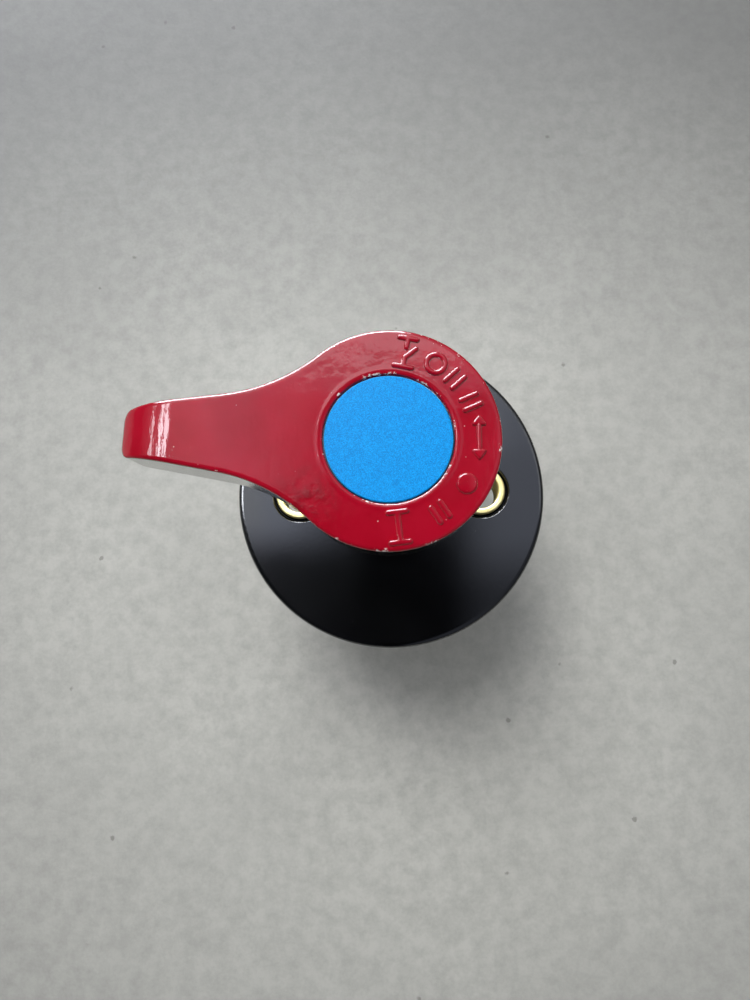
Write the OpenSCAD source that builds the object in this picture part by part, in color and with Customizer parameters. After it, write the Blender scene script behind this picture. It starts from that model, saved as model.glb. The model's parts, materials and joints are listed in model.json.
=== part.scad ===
// Battery master switch: a turning lever drives a helical cam that presses a
// copper bridge onto two terminal studs. Millimetres, +Z up towards the lever.
// The origin is the centre of the flange's front face, on the shaft axis.
// The lever is drawn in its OFF position.

/* [Flange and neck] */
// Diameter of the mounting flange
flange_d = 72; // [70:0.5:80]
// Thickness of the mounting flange
flange_t = 10; // [9:0.5:12]
// Radius of the flange's rounded front edge
flange_edge_r = 1.3; // [0.5:0.1:2]
// Diameter of the neck that passes through the panel
neck_d = 26; // [24:0.5:28]
// Height of the neck above the flange's front face
neck_h = 34.2; // [33:0.1:34.4]

/* [Panel bolts] */
// Distance between the two panel bolts
bolt_spacing = 42.5; // [42:0.1:44]
// Clearance bore of each brass bush
bolt_bore_d = 8.4; // [8.2:0.1:8.6]
// Outside diameter of a bush's tube
bush_d = 10.4; // [10:0.1:10.8]
// Outside diameter of a bush's rolled rim
bush_rim_d = 11.4; // [11.2:0.1:11.8]
// Depth of the rolled rim below the flange's face
bush_rim_t = 1.4; // [1.3:0.1:1.8]
// Diameter of the seat sunk in the flange around the rim
bush_seat_d = 12.4; // [12:0.1:13]

/* [Rear body] */
// Diameter of the rear body
barrel_d = 59; // [58:0.5:62]
// Depth of the rear body's open end behind the flange's face
barrel_depth = 43; // [42:0.5:46]
// Diameter of the hollow in the rear body that clears each panel bolt
scallop_d = 17.5; // [16:0.5:18]
// Width of the cavity across the contact bridge
cavity_w = 20; // [20:0.1:20.4]
// Length of the cavity along the contact bridge
cavity_l = 48; // [48:0.5:49]
// Thickness of the rear cover's plate
cover_t = 5.2; // [5:0.1:7]
// Thickness of the gasket under the cover
gasket_t = 0.8; // [0.5:0.1:1]
// Distance across of a cover screw's place, across the bridge
screw_dx = 31; // [30:0.5:32]
// Distance across of a cover screw's place, along the bridge
screw_dy = 38; // [37:0.5:39]

/* [Lever] */
// Diameter of the lever's ring
ring_d = 37.7; // [35:0.1:40]
// Height of the lever's top face above the flange's face
lever_top = 54; // [54:0.5:56]
// Depth of the lever's side walls
lever_depth = 13; // [12:0.5:14]
// Distance from the shaft axis to the arm's tip
arm_reach = 46.5; // [44:0.1:60]
// Angle by which each side of the arm closes in towards the tip
arm_taper = 8.5; // [6:0.5:10]
// Width of the arm at its tip
tip_w = 8.1; // [7:0.1:9]
// Radius of the hollow flares between the arm and the ring
flare_r = 31; // [28:1:36]
// Radius of the arm's down-curved nose
nose_r = 12; // [11:0.5:12]
// Thickness of the lever's walls
wall = 2.6; // [2.2:0.1:3]
// Diameter of the coloured disc
badge_d = 21.5; // [20:0.1:22]
// Thickness of the coloured disc
badge_t = 1.2; // [1:0.1:1.3]
// Height of the raised marks on the ring
mark_h = 0.5; // [0.3:0.1:0.8]
// Width of the strokes of the raised marks
mark_w = 0.95; // [0.6:0.05:1]
// Angle of the arm past the line of the panel bolts when off
off_turn = -3.6; // [-5:0.1:0]

/* [Switch action] */
// Diameter of the shaft
shaft_d = 12; // [11:0.5:12]
// Side of the shaft's square end
square_w = 8.4; // [8:0.1:8.4]
// Angle of the lever between OFF and ON
turn = 90; // [90:1:90]
// Travel of the contact bridge between OFF and ON
travel = 4; // [3.5:0.5:4]
// Gap between the closed contact tips at ON
contact_gap = 0.05; // [0.05:0.05:0.3]
// Length of the copper bridge
bridge_l = 44; // [42:0.5:45]
// Width of the copper bridge
bridge_w = 15; // [14:0.5:16]

/* [Terminals] */
// Diameter of the terminal studs
stud_d = 10; // [10:0.1:10]
// Distance between the two terminal studs
stud_spacing = 34; // [34:0.5:34.5]
// Length of each stud's free end below its nut
stud_free = 8.6; // [6:0.2:20]

/* [Hidden] */
$fn = 96;
eps = 0.01;
far = 200;

// Colours
black_phenolic = "#1d1e22";
brass = "#c9a24a";
red_paint = "#b01226";
blue_satin = "#1f8fe0";
steel = "#b9bcc0";
copper = "#b8734a";
silver = "#d8d8dc";
dark_rubber = "#26262a";
amber_resin = "#7a4a2a";

// Heights below the flange's face, from the lever down to the studs
hub_gap = 0.8;
hub_bottom = neck_h + hub_gap;
lever_bottom = lever_top - lever_depth;
badge_recess = 1.5;
badge_floor = lever_top - badge_recess;
well_floor = 46.5;
socket_top = 43.5;
pocket_ceiling = lever_top - 4.5;
shoulder_z = -1;
thrust_t = 0.9;
thrust_gap = 0.05;
rotor_top = shoulder_z - thrust_t - 2 * thrust_gap;
rotor_disc_t = 5;
ramp_top = rotor_top - rotor_disc_t;
ramp_rise = 2 * travel;
ramp_gap = 0.12;
ramp_bottom = ramp_top - ramp_rise;
plate_top = ramp_bottom - 1;
plate_t = 4;
bridge_top = plate_top - plate_t - 5;
bridge_t = 4;
bridge_bottom = bridge_top - bridge_t;
tip_t = 1.4;
tip_r = 4.5;
clip_top = bridge_bottom - 1.2;
clip_t = 1;
stem_bottom = clip_top - clip_t - 1.8;
fixed_tip_top = bridge_bottom - tip_t - travel - contact_gap;
stud_head_top = fixed_tip_top - tip_t;
stud_head_t = 4.5;
stud_head_bottom = stud_head_top - stud_head_t;
stud_seal_t = 0.8;
pocket_floor = stud_head_bottom - stud_seal_t;
platform_top = pocket_floor + 2.25;
plate_face = -barrel_depth - gasket_t;
cover_back = plate_face - cover_t;
washer_t = 2;
split_t = 2.4;
nut_t = 8;
nut_bottom = cover_back - washer_t - split_t - nut_t;
stud_end = nut_bottom - stud_free;
stud_shank_d = stud_d - 0.8;

// Radii and plan sizes
ring_r = ring_d / 2;
hub_r = 9.5;
well_r = 7.5;
badge_seat_r = badge_d / 2 + 0.25;
bearing_r = 8;
bearing_wall_gap = 0.05;
bearing_bottom = 2;
bearing_top = neck_h - 2.2;
seal_seat_r = 8.15;
seal_r = 1;
rotor_bore_r = 10;
rotor_r = 8.4;
rotor_lug_r = 9.7;
housing_lug_r = 8.6;
ramp_in_r = 6.1;
ramp_out_r = 9.3;
rotor_lug_angle = 40;
housing_lug_angle = 180 - turn - rotor_lug_angle - 2;
pilot_r = 2.5;
pilot_bottom = plate_top - 8;
stem_r = 4.5;
groove_r = 3.8;
carriage_gap = 0.3;
carriage_l = 26;
stud_head_w = 14;
stud_head_l = 13;
barrier_t = 3;
barrier_l = 23;
barrier_h = 9;
rib_t = 2;
screw_r = 2;
screw_head_r = 3.9;
screw_head_t = 2.4;
screw_sink = 2.8;
screw_tip = -30;
lever_screw_r = 3;
lever_screw_head_t = 4;
lever_washer_t = 1.5;
pin_r = 1.25;
pin_z = ramp_top + rotor_disc_t / 2;

// Flare between the ring and the arm: it touches both
flare_off = arm_half(0) * cos(arm_taper) + flare_r;
flare_run = sqrt(pow(ring_r + flare_r, 2) - pow(flare_off, 2));
flare_x = flare_off * sin(arm_taper) + flare_run * cos(arm_taper);
flare_y = flare_off * cos(arm_taper) - flare_run * sin(arm_taper);
flare_angle = atan2(flare_y, -flare_x);

// ---------- helpers ----------

// A ring with a bore, standing on z0
module ring(r_out, r_in, z0, h) {
    translate([0, 0, z0]) difference() {
        cylinder(r = r_out, h = h);
        translate([0, 0, -1]) cylinder(r = r_in, h = h + 2);
    }
}

// A block centred on the axis, from z0 up to z1
module block(w, l, z0, z1) {
    translate([-w / 2, -l / 2, z0]) cube([w, l, z1 - z0]);
}

// Both panel bolt axes
module at_bolts() {
    for (side = [-1, 1]) translate([side * bolt_spacing / 2, 0, 0]) children();
}

// Both terminal stud axes
module at_studs() {
    for (side = [-1, 1]) translate([0, side * stud_spacing / 2, 0]) children();
}

// The four cover screws
module at_cover_screws() {
    for (x = [-1, 1], y = [-1, 1]) translate([x * screw_dx / 2, y * screw_dy / 2, 0]) children();
}

// Parts that stand with the lever in its OFF position
module at_off() {
    rotate([0, 0, off_turn]) children();
}

// A flat sector between two radii, centred on the +X axis
module sector(r_in, r_out, angle) {
    half = angle / 2;
    intersection() {
        difference() {
            circle(r = r_out);
            circle(r = r_in);
        }
        polygon([[0, 0], 2 * r_out * [cos(half), -sin(half)], 2 * r_out * [cos(half), sin(half)]]);
    }
}

// Outline of the rear body, with a hollow around each panel bolt
module barrel_outline(inset = 0) {
    difference() {
        circle(d = barrel_d - 2 * inset);
        for (side = [-1, 1]) {
            translate([side * bolt_spacing / 2, 0]) circle(d = scallop_d + 2 * inset);
            translate([side * (bolt_spacing / 2 + 20), 0])
                square([40, scallop_d + 2 * inset], center = true);
        }
    }
}

// Points of a helical ramp's edge: radius r, from angle 0 to 180 minus the play
function ramp_edge(r, steps, span, z0, drop) = [
    for (i = [0 : steps]) let (a = span * i / steps) [r * cos(a), r * sin(a), z0 - drop * a / 180]
];

// Points straight above or below an edge, at a fixed height
function flat_edge(edge, z) = [for (p = edge) [p[0], p[1], z]];

// Triangles that join strip a to strip b, each n + 1 points long
function strip(a, b, n) = [
    for (i = [0 : n - 1]) each [[a + i, b + i, b + i + 1], [a + i, b + i + 1, a + i + 1]]
];

// One helical lobe, between a flat face and a sloping face that falls by drop over 180 degrees
module ramp_lobe(z_flat, z0, drop, span, steps = 45) {
    inner = ramp_edge(ramp_in_r, steps, span, z0, drop);
    outer = ramp_edge(ramp_out_r, steps, span, z0, drop);
    points = concat(flat_edge(inner, z_flat), flat_edge(outer, z_flat), inner, outer);
    count = steps + 1;
    down = z_flat > z0;
    faces = concat(
        strip(0, count, steps),
        strip(3 * count, 2 * count, steps),
        strip(2 * count, 0, steps),
        strip(count, 3 * count, steps),
        [[0, 2 * count, 3 * count], [0, 3 * count, count]],
        [[steps, count + steps, 3 * count + steps], [steps, 3 * count + steps, 2 * count + steps]]
    );
    flipped = [for (f = faces) [f[2], f[1], f[0]]];
    polyhedron(points = points, faces = down ? flipped : faces, convexity = 6);
}

// Height of a coil spring's wire after t turns: closed end turns, open middle turns
function coil_z(t, turns, z0, z1, wire_d) =
    let (closed = 1.05 * wire_d)
    let (open = (z1 - z0 - wire_d - 2 * closed) / (turns - 2))
    z0 + wire_d / 2 + (t <= 1 ? closed * t
        : t <= turns - 1 ? closed + open * (t - 1)
        : closed + open * (turns - 2) + closed * (t - turns + 1));

// A coil spring of round wire, swept as rings of points
module coil(mean_r, wire_d, z0, z1, turns, per_turn = 24, sides = 8) {
    rings = round(turns * per_turn);
    points = [
        for (i = [0 : rings], j = [0 : sides - 1])
            let (a = 360 * i / per_turn, b = 360 * j / sides, r = mean_r + wire_d / 2 * cos(b))
            [r * cos(a), r * sin(a), coil_z(i / per_turn, turns, z0, z1, wire_d) + wire_d / 2 * sin(b)]
    ];
    skin = [
        for (i = [0 : rings - 1], j = [0 : sides - 1])
            let (k = (j + 1) % sides, a = i * sides, b = a + sides)
            each [[a + j, b + k, a + k], [a + j, b + j, b + k]]
    ];
    start = [for (j = [0 : sides - 1]) j];
    end = [for (j = [sides - 1 : -1 : 0]) rings * sides + j];
    polyhedron(points = points, faces = concat(skin, [start], [end]), convexity = 8);
}

// ---------- fixed parts ----------

module housing() {
    color(black_phenolic) difference() {
        union() {
            rotate_extrude() housing_profile();
            translate([0, 0, -barrel_depth]) linear_extrude(barrel_depth - flange_t + eps)
                barrel_outline();
        }
        at_bolts() bush_seat();
        // bearing, seal seat and shaft clearance
        translate([0, 0, bearing_bottom]) cylinder(r = bearing_r, h = far);
        translate([0, 0, bearing_top]) cylinder(r = seal_seat_r, h = far);
        translate([0, 0, shoulder_z - 1]) cylinder(r = shaft_d / 2 + 0.3, h = far);
        // round bore of the rotor, with two stop lugs left standing in it
        rotor_bore();
        // cavity of the contact bridge
        block(cavity_w, cavity_l, -barrel_depth - 1, plate_top + 2);
        at_cover_screws() translate([0, 0, -barrel_depth - 1])
            cylinder(r = screw_r + 0.05, h = barrel_depth + 1 + screw_tip + 1);
    }
}

// Half section of the flange and neck, with a rounded flange edge and a chamfered neck
module housing_profile() {
    r = flange_d / 2;
    chamfer = 0.8;
    translate([0, -flange_t]) square([r, flange_t - flange_edge_r]);
    translate([0, -flange_t]) square([r - flange_edge_r, flange_t]);
    translate([r - flange_edge_r, -flange_edge_r]) circle(r = flange_edge_r);
    polygon([
        [0, -1], [neck_d / 2, -1], [neck_d / 2, neck_h - chamfer],
        [neck_d / 2 - chamfer, neck_h], [0, neck_h]
    ]);
}

// Hole, seat and chamfer for one mounting bush
module bush_seat() {
    chamfer = 0.5;
    translate([0, 0, -far / 2]) cylinder(d = bush_d + 0.04, h = far);
    translate([0, 0, -bush_rim_t]) cylinder(d = bush_seat_d, h = far);
    translate([0, 0, -chamfer])
        cylinder(d1 = bush_seat_d, d2 = bush_seat_d + 4 * chamfer, h = 2 * chamfer);
}

// Space of the rotor, less the two lugs that stop it
module rotor_bore() {
    lug_turn = (rotor_lug_angle + housing_lug_angle) / 2 + 1;
    lug_bottom = ramp_top + 0.6;
    difference() {
        translate([0, 0, plate_top]) cylinder(r = rotor_bore_r, h = shoulder_z - plate_top);
        at_off() for (side = [0, 180]) rotate([0, 0, side + lug_turn])
            translate([0, 0, lug_bottom]) linear_extrude(far)
                sector(housing_lug_r, rotor_bore_r + 1, housing_lug_angle);
    }
}

module mounting_bushes() {
    inner_round = 0.45;
    outer_round = 0.65;
    bore_r = bolt_bore_d / 2;
    rim_r = bush_rim_d / 2;
    color(brass) at_bolts() rotate_extrude() {
        translate([bore_r, -flange_t]) square([(bush_d - bolt_bore_d) / 2, flange_t - outer_round]);
        translate([bore_r, -bush_rim_t]) square([rim_r - bore_r, bush_rim_t - outer_round]);
        translate([bore_r, -bush_rim_t]) square([rim_r - bore_r - outer_round, bush_rim_t - inner_round]);
        translate([bore_r + inner_round, -inner_round]) circle(r = inner_round);
        translate([bore_r + inner_round, -bush_rim_t])
            square([rim_r - bore_r - inner_round - outer_round, bush_rim_t]);
        translate([rim_r - outer_round, -outer_round]) circle(r = outer_round);
    }
}

module shaft_bush() {
    color(brass) ring(bearing_r - 0.02, shaft_d / 2 + bearing_wall_gap,
        bearing_bottom, bearing_top - bearing_bottom);
}

module shaft_seal() {
    color(dark_rubber) translate([0, 0, bearing_top + seal_r + 0.05]) rotate_extrude()
        translate([shaft_d / 2 + 0.08 + seal_r, 0]) circle(r = seal_r, $fn = 32);
}

module thrust_washer() {
    color(brass) ring(rotor_r, shaft_d / 2 + 0.2, rotor_top + thrust_gap, thrust_t);
}

module rear_cover() {
    back = cover_back;
    color(black_phenolic) difference() {
        union() {
            translate([0, 0, back]) linear_extrude(cover_t) barrel_outline();
            block(cavity_w - 0.6, cavity_l - 0.6, plate_face - eps, platform_top);
            block(barrier_l, barrier_t, back - barrier_h, back + eps);
        }
        at_studs() {
            block(stud_head_w + 0.4, stud_head_l + 0.4, pocket_floor, platform_top + 1);
            translate([0, 0, back - 1]) cylinder(d = stud_d + 0.4, h = far);
        }
        translate([0, 0, pocket_floor]) cylinder(r = bridge_w / 2 + 0.1, h = far);
        at_cover_screws() {
            translate([0, 0, back - 1]) cylinder(r = screw_r + 0.2, h = far);
            translate([0, 0, back - 1]) cylinder(r = screw_head_r + 0.3, h = screw_sink + 1);
        }
    }
}

module cover_gasket() {
    inset = 0.6;
    color(dark_rubber) difference() {
        translate([0, 0, plate_face]) linear_extrude(gasket_t) barrel_outline(inset);
        block(cavity_w, cavity_l, plate_face - 1, plate_face + gasket_t + 1);
        at_cover_screws() translate([0, 0, plate_face - 1]) cylinder(r = screw_r + 0.2, h = 4);
    }
}

module cover_screws() {
    seat = cover_back + screw_sink;
    slot_w = 1;
    slot_l = 4.2;
    slot_d = 1.4;
    color(steel) at_cover_screws() difference() {
        union() {
            translate([0, 0, seat - eps]) cylinder(r = screw_r, h = screw_tip - seat);
            translate([0, 0, seat - screw_head_t])
                cylinder(r1 = screw_head_r - 0.6, r2 = screw_head_r, h = screw_head_t);
        }
        for (a = [0, 90]) rotate([0, 0, a])
            block(slot_w, slot_l, seat - screw_head_t - 1, seat - screw_head_t + slot_d);
    }
}

// Headed studs: a slim shank through the cover, nut and washers, and a full-size free end
module terminal_studs() {
    chamfer = 1;
    full_top = nut_bottom - 0.5;
    color(brass) at_studs() {
        block(stud_head_w, stud_head_l, stud_head_bottom, stud_head_top);
        translate([0, 0, full_top - eps])
            cylinder(d = stud_shank_d, h = stud_head_bottom - full_top + 2 * eps);
        translate([0, 0, stud_end + chamfer])
            cylinder(d = stud_d, h = full_top - stud_end - chamfer);
        translate([0, 0, stud_end])
            cylinder(d1 = stud_d - 2 * chamfer, d2 = stud_d, h = chamfer);
    }
}

module stud_seals() {
    color(dark_rubber) at_studs() difference() {
        block(stud_head_w, stud_head_l, pocket_floor, pocket_floor + stud_seal_t);
        translate([0, 0, pocket_floor - 1]) cylinder(d = stud_d + 0.2, h = 4);
    }
}

module fixed_contact_tips() {
    color(silver) at_studs() translate([0, 0, stud_head_top]) cylinder(r = tip_r, h = tip_t);
}

module stud_washers() {
    color(steel) at_studs() ring(10, stud_d / 2 + 0.25, cover_back - washer_t, washer_t);
}

module stud_spring_washers() {
    slit = 1.2;
    z0 = cover_back - washer_t - split_t;
    color(steel) at_studs() difference() {
        ring(8.6, stud_d / 2 + 0.15, z0, split_t);
        rotate([12, 0, 0]) translate([5, -slit / 2, z0 - 6]) cube([far, slit, 18]);
    }
}

module stud_nuts() {
    across_flats = 16;
    color(brass) at_studs() translate([0, 0, nut_bottom]) difference() {
        cylinder(d = across_flats / cos(30), h = nut_t, $fn = 6);
        translate([0, 0, -1]) cylinder(d = stud_shank_d + 0.1, h = nut_t + 2);
    }
}

module return_spring() {
    color(steel) coil(6.6, 1.2, pocket_floor + 0.05, clip_top - 0.05, 4.5);
}

// ---------- parts that turn with the lever ----------

// Points along an arc about a centre
function arc(centre, r, from, to, steps) = [
    for (i = [0 : steps]) let (a = from + (to - from) * i / steps) centre + r * [cos(a), sin(a)]
];

// Half the lever's width at x, on the straight sides of its arm
function arm_half(x) = tip_w / 2 + (x + arm_reach) * tan(arm_taper);

// One side of the lever's outline: ring, hollow flare, tapered arm and rounded tip corner
function lever_edge(inset, corner = 2.2) = let (corner_x = -arm_reach + inset + corner) concat(
    arc([0, 0], ring_r - inset, 0, flare_angle, 36),
    arc([-flare_x, flare_y], flare_r + inset, flare_angle - 180, arm_taper - 90, 14),
    arc([corner_x, arm_half(corner_x) - (corner + inset) / cos(arm_taper)], corner, 90 + arm_taper, 180, 5)
);

// Outline of the lever, seen from above, drawn in from the true edge by inset
module lever_outline(inset = 0) {
    edge = lever_edge(inset);
    last = len(edge) - 1;
    polygon(concat(edge, [for (i = [last : -1 : 1]) [edge[i][0], -edge[i][1]]]));
}

// Side view of the lever: flat on top, with a nose that curves down at the tip
module lever_side() {
    nose_x = nose_r - arm_reach - 2;
    nose_end = acos((-arm_reach - nose_x) / nose_r);
    polygon(concat(
        [[far, lever_bottom], [far, lever_top]],
        arc([nose_x, lever_top - nose_r], nose_r, 90, nose_end, 12),
        [[-arm_reach, lever_bottom]]
    ));
}

// Hollow under the lever, less the hub and the ribs that hold it
module lever_pocket() {
    difference() {
        lever_outline(wall);
        circle(r = hub_r);
        for (a = [60, -60, 180]) rotate([0, 0, a]) translate([0, -rib_t / 2]) square([ring_r, rib_t]);
        translate([-arm_reach, -tip_w]) square([6, 2 * tip_w]);
    }
}

module lever() {
    color(red_paint) at_off() {
        difference() {
            union() {
                intersection() {
                    translate([0, 0, lever_bottom]) linear_extrude(lever_depth) lever_outline();
                    translate([0, far / 2, 0]) rotate([90, 0, 0]) linear_extrude(far) lever_side();
                }
                translate([0, 0, hub_bottom]) cylinder(r = hub_r, h = lever_depth);
            }
            translate([0, 0, lever_bottom - 1]) linear_extrude(pocket_ceiling - lever_bottom + 1)
                lever_pocket();
            block(square_w + 0.1, square_w + 0.1, hub_bottom - 1, socket_top);
            translate([0, 0, socket_top - 1]) cylinder(r = lever_screw_r + 0.2, h = far);
            translate([0, 0, well_floor]) cylinder(r = well_r, h = far);
            translate([0, 0, badge_floor]) cylinder(r = badge_seat_r, h = far);
        }
        translate([0, 0, lever_top - eps]) linear_extrude(mark_h) lever_marks();
    }
}

// A straight stroke with square ends
module stroke(from, to) {
    run = to - from;
    translate(from) rotate([0, 0, atan2(run[1], run[0])])
        translate([-mark_w / 2, -mark_w / 2]) square([norm(run) + mark_w, mark_w]);
}

// Places a mark on the ring, with its own +Y pointing outwards
module on_ring(angle) {
    rotate([0, 0, angle - 90]) translate([0, (badge_seat_r + ring_r) / 2]) children();
}

// The circle that stands for off
module off_circle() {
    outer_r = 2.05;
    difference() {
        circle(r = outer_r);
        circle(r = outer_r - mark_w);
    }
}

// The dot that stands for on
module on_dot() {
    dot_r = 1.75;
    circle(r = dot_r);
}

// A drawn contact: two stems with end bars, and a blade that stands open or closed
module contact_mark(blade_x) {
    stem_end = 2.5;
    stem_start = 0.9;
    bar_half = 1.5;
    for (side = [-1, 1]) {
        stroke([0, side * stem_start], [0, side * stem_end]);
        stroke([-bar_half, side * stem_end], [bar_half, side * stem_end]);
    }
    stroke([0, -stem_start], [blade_x, stem_start]);
}

// Double-headed arrow that shows the two ways to turn
module turn_arrow() {
    tip = 3.9;
    head_l = 1.9;
    head_half = 1.4;
    stroke([-tip + head_l, 0], [tip - head_l, 0]);
    for (side = [-1, 1])
        polygon([
            [side * tip, 0], [side * (tip - head_l), head_half], [side * (tip - head_l), -head_half]
        ]);
}

// A pair of bars that point at the shaft
module bars() {
    half = 1.4;
    apart = 0.9;
    for (x = [-apart, apart]) stroke([x, -half], [x, half]);
}

// Raised marks, by angle round the ring: off side above the arrow, on side below it
module lever_marks() {
    on_ring(81.2) contact_mark(1.6);
    on_ring(60.3) off_circle();
    for (a = [44.4, 26.1, -53.5]) on_ring(a) bars();
    on_ring(2.3) turn_arrow();
    on_ring(-28.7) on_dot();
    on_ring(-81.1) contact_mark(0);
}

module badge_disc() {
    color(blue_satin) at_off() translate([0, 0, badge_floor]) cylinder(d = badge_d, h = badge_t);
}

module lever_screw() {
    head_bottom = well_floor + lever_washer_t;
    head_r = 5;
    socket_r = 2.9;
    socket_floor = 1.8;
    tip = socket_top - 14;
    color(steel) difference() {
        union() {
            translate([0, 0, head_bottom]) cylinder(r = head_r, h = lever_screw_head_t);
            translate([0, 0, tip]) cylinder(r = lever_screw_r, h = head_bottom - tip + socket_floor);
        }
        translate([0, 0, head_bottom + socket_floor]) cylinder(r = socket_r, h = far, $fn = 6);
    }
}

module lever_screw_washer() {
    color(steel) ring(5.6, lever_screw_r + 0.2, well_floor, lever_washer_t);
}

module shaft() {
    tap_depth = 16;
    color(steel) at_off() difference() {
        union() {
            translate([0, 0, ramp_top]) cylinder(d = shaft_d, h = hub_bottom - ramp_top);
            block(square_w, square_w, hub_bottom - eps, socket_top - 0.1);
            translate([0, 0, pilot_bottom]) cylinder(r = pilot_r, h = ramp_top - pilot_bottom + eps);
        }
        translate([0, 0, socket_top - tap_depth]) cylinder(r = lever_screw_r + 0.02, h = far);
        translate([0, 0, pin_z]) rotate([0, 90, 0]) cylinder(r = pin_r + 0.02, h = far, center = true);
    }
}

module cam_rotor() {
    lug_half = (rotor_lug_r - rotor_r) + 1;
    color(amber_resin) at_off() {
        difference() {
            union() {
                translate([0, 0, ramp_top]) cylinder(r = rotor_r, h = rotor_disc_t);
                for (side = [0, 180]) rotate([0, 0, side]) translate([0, 0, ramp_top])
                    linear_extrude(rotor_disc_t)
                        sector(rotor_lug_r - lug_half, rotor_lug_r, rotor_lug_angle);
            }
            translate([0, 0, ramp_top - 1]) cylinder(d = shaft_d + 0.04, h = far);
            translate([0, 0, pin_z]) rotate([0, 90, 0])
                cylinder(r = pin_r + 0.02, h = far, center = true);
        }
        for (side = [0, 180]) rotate([0, 0, side])
            ramp_lobe(ramp_top + 0.5, ramp_top, ramp_rise, 179);
    }
}

module rotor_pin() {
    color(steel) at_off() translate([0, 0, pin_z]) rotate([0, 90, 0])
        cylinder(r = pin_r, h = 2 * rotor_r, center = true);
}

// ---------- parts that slide with the contact bridge ----------

module contact_carriage() {
    color(amber_resin) {
        difference() {
            union() {
                block(cavity_w - 2 * carriage_gap, carriage_l, plate_top - plate_t, plate_top);
                translate([0, 0, stem_bottom]) cylinder(r = stem_r, h = plate_top - stem_bottom);
            }
            translate([0, 0, pilot_bottom - 3]) cylinder(r = pilot_r + 0.1, h = far);
            ring(stem_r + 1, groove_r, clip_top - clip_t, clip_t);
        }
        at_off() for (side = [0, 180]) rotate([0, 0, side + 1])
            ramp_lobe(plate_top - 0.5, ramp_top - ramp_gap - ramp_rise / 180, ramp_rise, 178);
    }
}

module contact_bridge() {
    color(copper) difference() {
        block(bridge_w, bridge_l, bridge_bottom, bridge_top);
        translate([0, 0, bridge_bottom - 1]) cylinder(r = stem_r + 0.2, h = far);
        at_studs() translate([0, 0, bridge_bottom - 1]) cylinder(r = 1.6, h = far);
    }
}

module moving_contact_tips() {
    color(silver) at_studs() {
        translate([0, 0, bridge_bottom - tip_t]) cylinder(r = tip_r, h = tip_t);
        translate([0, 0, bridge_bottom - eps]) cylinder(r = 1.55, h = bridge_t);
    }
}

module contact_spring() {
    color(steel) coil(6.3, 1, bridge_top + 0.02, plate_top - plate_t - 0.02, 3);
}

module retaining_washer() {
    color(steel) ring(7.2, stem_r + 0.1, clip_top, bridge_bottom - clip_top);
}

module retaining_clip() {
    color(steel) difference() {
        ring(5.6, groove_r, clip_top - clip_t, clip_t);
        translate([0, -1.4, clip_top - clip_t - 1]) cube([far, 2.8, clip_t + 2]);
    }
}

housing();
mounting_bushes();
shaft_bush();
shaft_seal();
thrust_washer();
rear_cover();
cover_gasket();
cover_screws();
terminal_studs();
stud_seals();
fixed_contact_tips();
stud_washers();
stud_spring_washers();
stud_nuts();
return_spring();
lever();
badge_disc();
lever_screw();
lever_screw_washer();
shaft();
cam_rotor();
rotor_pin();
contact_carriage();
contact_bridge();
moving_contact_tips();
contact_spring();
retaining_washer();
retaining_clip();
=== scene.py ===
"""Looks of the battery switch: skins, finishes, floor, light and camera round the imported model."""

import json
import math

import bmesh
import bpy
import numpy as np
from mathutils import Matrix, Vector


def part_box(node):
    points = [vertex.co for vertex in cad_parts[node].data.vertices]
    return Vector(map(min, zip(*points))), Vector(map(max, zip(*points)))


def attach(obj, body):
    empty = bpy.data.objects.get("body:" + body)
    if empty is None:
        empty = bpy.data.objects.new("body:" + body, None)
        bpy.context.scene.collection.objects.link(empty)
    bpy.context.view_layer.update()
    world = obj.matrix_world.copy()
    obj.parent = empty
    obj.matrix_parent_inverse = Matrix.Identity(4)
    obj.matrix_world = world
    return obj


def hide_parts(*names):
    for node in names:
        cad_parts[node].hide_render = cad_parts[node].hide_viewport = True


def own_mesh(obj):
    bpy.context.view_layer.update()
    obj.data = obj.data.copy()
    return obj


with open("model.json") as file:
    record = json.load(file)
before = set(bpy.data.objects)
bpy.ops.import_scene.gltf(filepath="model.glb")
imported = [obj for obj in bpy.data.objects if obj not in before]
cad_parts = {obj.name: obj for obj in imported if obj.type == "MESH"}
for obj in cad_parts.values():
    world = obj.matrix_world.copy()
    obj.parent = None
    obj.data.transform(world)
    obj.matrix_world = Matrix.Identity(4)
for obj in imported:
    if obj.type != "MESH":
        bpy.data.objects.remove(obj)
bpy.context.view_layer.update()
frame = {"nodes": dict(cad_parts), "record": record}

MM = 0.001
SCENE = bpy.context.scene
# points closer than this, in metres, are one point
SAME_POINT = 1e-7
# how far a skin stays inside its CAD body, in millimetres
EPS = 0.01


def box_mm(node):
    """Lowest and highest corner of a CAD node, in millimetres."""
    lo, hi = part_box(node)
    return lo / MM, hi / MM


# ---------- sizes in millimetres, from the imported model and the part's drawing ----------

HOUSING_LO, HOUSING_HI = box_mm("housing")
FLANGE_R = HOUSING_HI.x
NECK_TOP = HOUSING_HI.z
BARREL_BACK = HOUSING_LO.z
FLANGE_T = 10.0
FLANGE_EDGE = 1.25
NECK_R = 13.0
BARREL_R = 29.5
SCALLOP_R = 8.75

BUSH_LO, BUSH_HI = box_mm("mounting_bushes")
BUSH_RIM_R = 5.7
BUSH_BORE_R = 4.2
BUSH_TUBE_R = 5.2
BUSH_RIM_T = 1.4
SEAT_R = 6.22
BOLT_X = BUSH_HI.x - BUSH_RIM_R

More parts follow.
